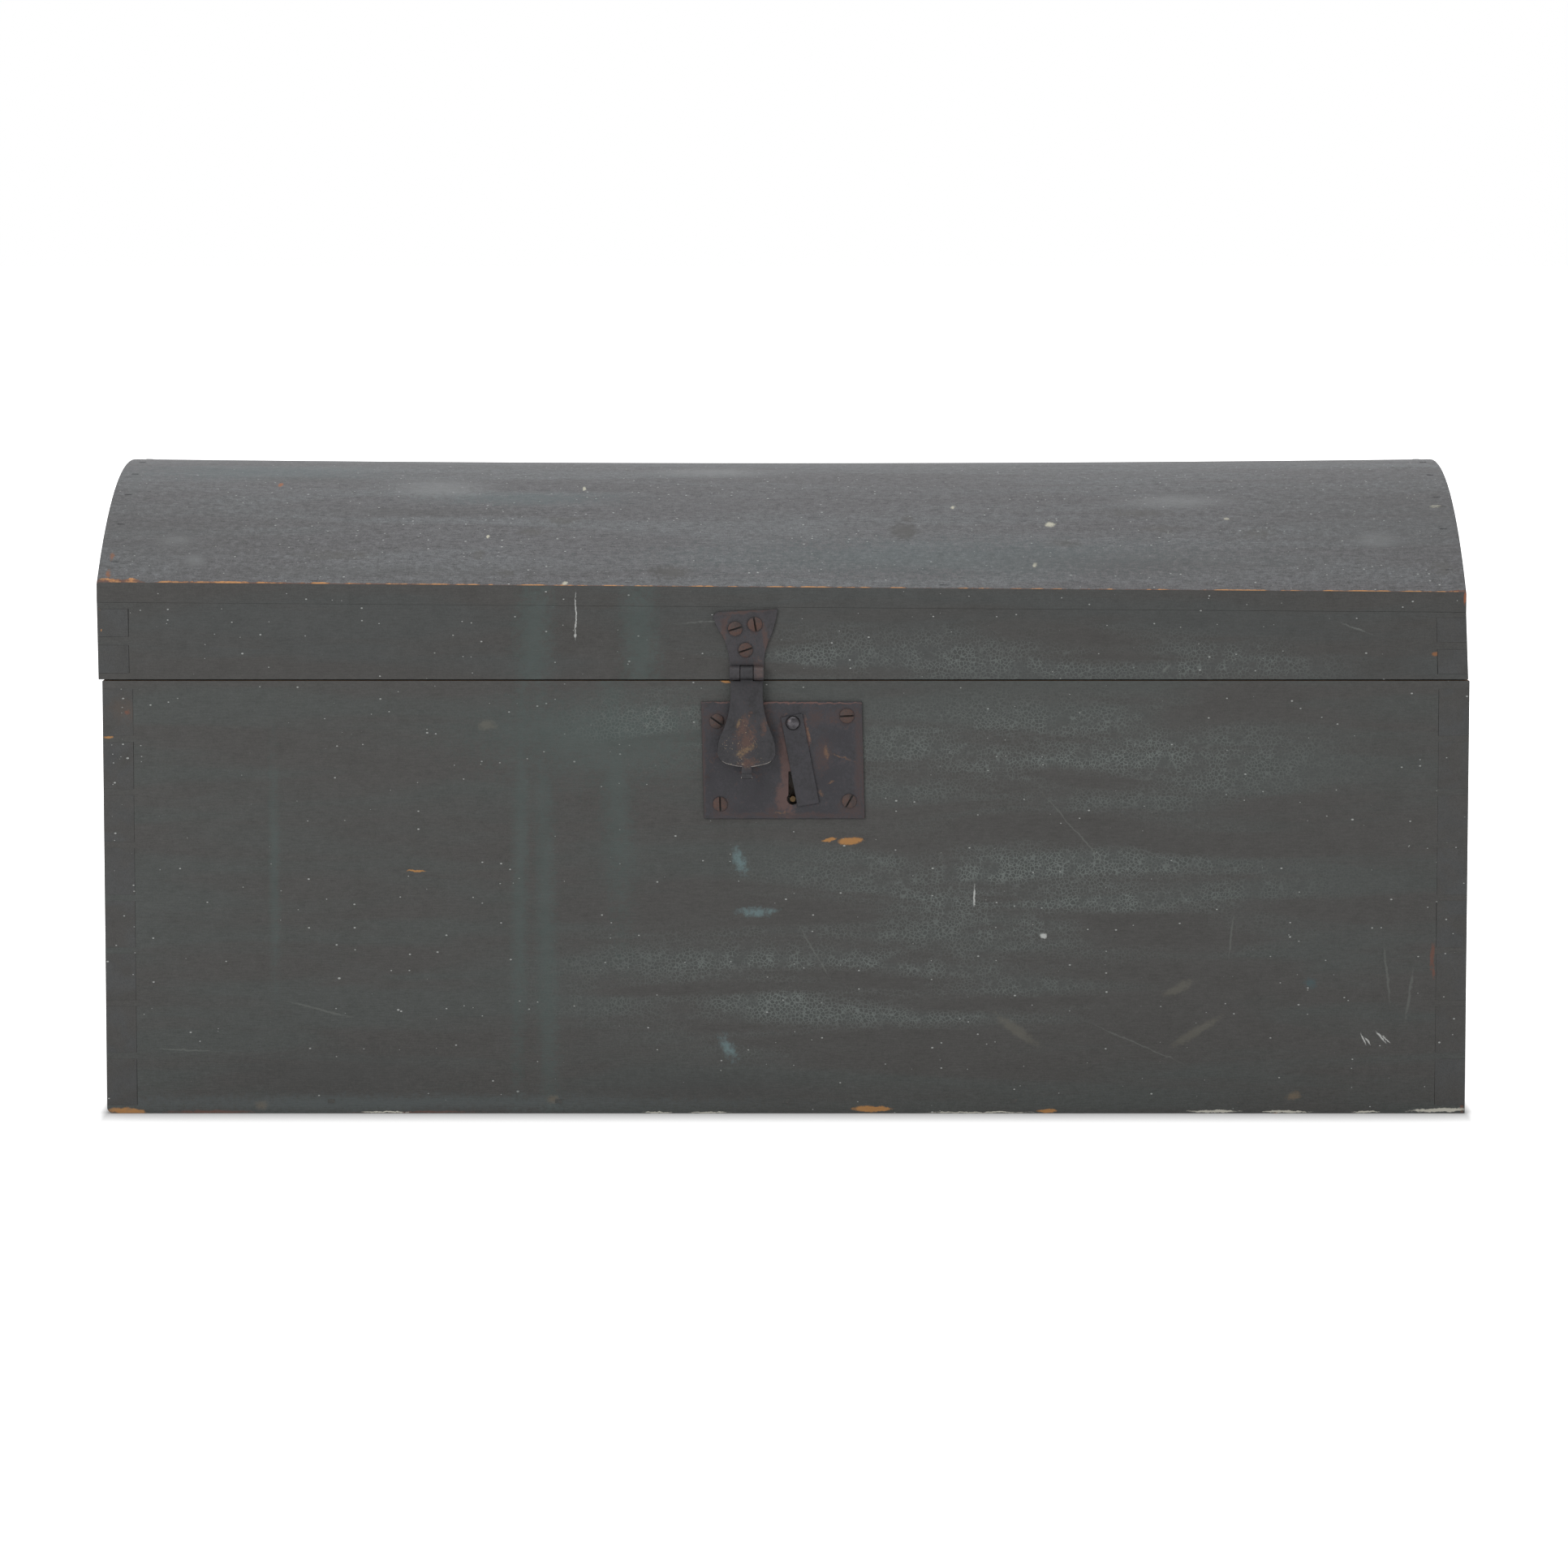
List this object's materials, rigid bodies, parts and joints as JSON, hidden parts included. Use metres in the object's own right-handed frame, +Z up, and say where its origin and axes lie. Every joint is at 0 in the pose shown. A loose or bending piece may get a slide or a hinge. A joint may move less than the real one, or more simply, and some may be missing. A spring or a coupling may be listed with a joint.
{
  "type": "dome top trunk",
  "caption": "Long low painted pine trunk with a shallow coopered dome lid, dovetailed corners, an iron hasp over a plate lock with a swinging keyhole cover, and bail handles.",
  "frame": {"origin": "on the floor, under the middle of the case", "axes": "+X along the trunk to the right as seen from the front, +Y from the front to the back, +Z up; the hasp and lock face -Y"},
  "size_m": [0.948, 0.4524, 0.4307],
  "materials": {
    "painted_pine": "old dull grey-green paint, worn and chipped to the pine",
    "bare_pine": "bare darkened pine",
    "aged_iron": "dark worn iron with brown rust",
    "rusted_screws": "brown rusted iron",
    "painted_nails": "nail heads under the old paint",
    "lock_steel": "dull oiled steel",
    "brass_post": "dull brass"
  },
  "bodies": {
    "case": {"case_front_board": "painted_pine", "case_back_board": "painted_pine", "case_left_end": "painted_pine", "case_right_end": "painted_pine", "bottom_board_front": "bare_pine", "bottom_board_back": "bare_pine", "bottom_nails": "painted_nails", "left_hinge_case_leaf": "aged_iron", "right_hinge_case_leaf": "aged_iron", "left_hinge_pin": "aged_iron", "right_hinge_pin": "aged_iron", "hinge_case_screws": "rusted_screws", "lock_plate": "aged_iron", "lock_plate_screws": "rusted_screws", "lock_case": "lock_steel", "lock_spring": "lock_steel", "key_post": "brass_post", "keyhole_cover_rivet": "aged_iron", "left_handle_mounts": "aged_iron", "right_handle_mounts": "aged_iron", "left_handle_nails": "rusted_screws", "right_handle_nails": "rusted_screws"},
    "lid": {"lid_front_board": "painted_pine", "lid_back_board": "painted_pine", "lid_left_end": "painted_pine", "lid_right_end": "painted_pine", "dome_stave_1": "painted_pine", "dome_stave_2": "painted_pine", "dome_stave_3": "painted_pine", "dome_stave_4": "painted_pine", "dome_stave_5": "painted_pine", "stave_nails": "painted_nails", "left_hinge_lid_leaf": "aged_iron", "right_hinge_lid_leaf": "aged_iron", "hinge_lid_screws": "rusted_screws", "hasp_leaf": "aged_iron", "hasp_leaf_screws": "rusted_screws", "hasp_pin": "aged_iron"},
    "hasp": {"hasp_strap": "aged_iron", "hasp_staple": "aged_iron"},
    "keyhole_cover": {"keyhole_cover": "aged_iron"},
    "bolt": {"lock_bolt": "lock_steel"},
    "left_bail": {"left_handle_bail": "aged_iron"},
    "right_bail": {"right_handle_bail": "aged_iron"}
  },
  "joints": [
    {"name": "lid_hinge", "type": "hinge", "parent": "case", "child": "lid", "pos_m": [0, 0.21, 0.2924], "axis": [-1, 0, 0], "range_deg": [0, 99]},
    {"name": "hasp_swing", "type": "hinge", "parent": "lid", "child": "hasp", "pos_m": [-0.0262, -0.2208, 0.2974], "axis": [-1, 0, 0], "range_deg": [-11, 168]},
    {"name": "keyhole_cover_swing", "type": "hinge", "parent": "case", "child": "keyhole_cover", "pos_m": [0.0046, -0.2178, 0.264], "axis": [0, -1, 0], "range_deg": [-20, 65]},
    {"name": "bolt_slide", "type": "slide", "parent": "case", "child": "bolt", "axis": [-1, 0, 0], "range_m": [0, 0.008]},
    {"name": "left_bail_swing", "type": "hinge", "parent": "case", "child": "left_bail", "pos_m": [-0.467, 0, 0.176], "axis": [0, 1, 0], "range_deg": [-5, 185]},
    {"name": "right_bail_swing", "type": "hinge", "parent": "case", "child": "right_bail", "pos_m": [0.467, 0, 0.176], "axis": [0, -1, 0], "range_deg": [-5, 185]}
  ]
}
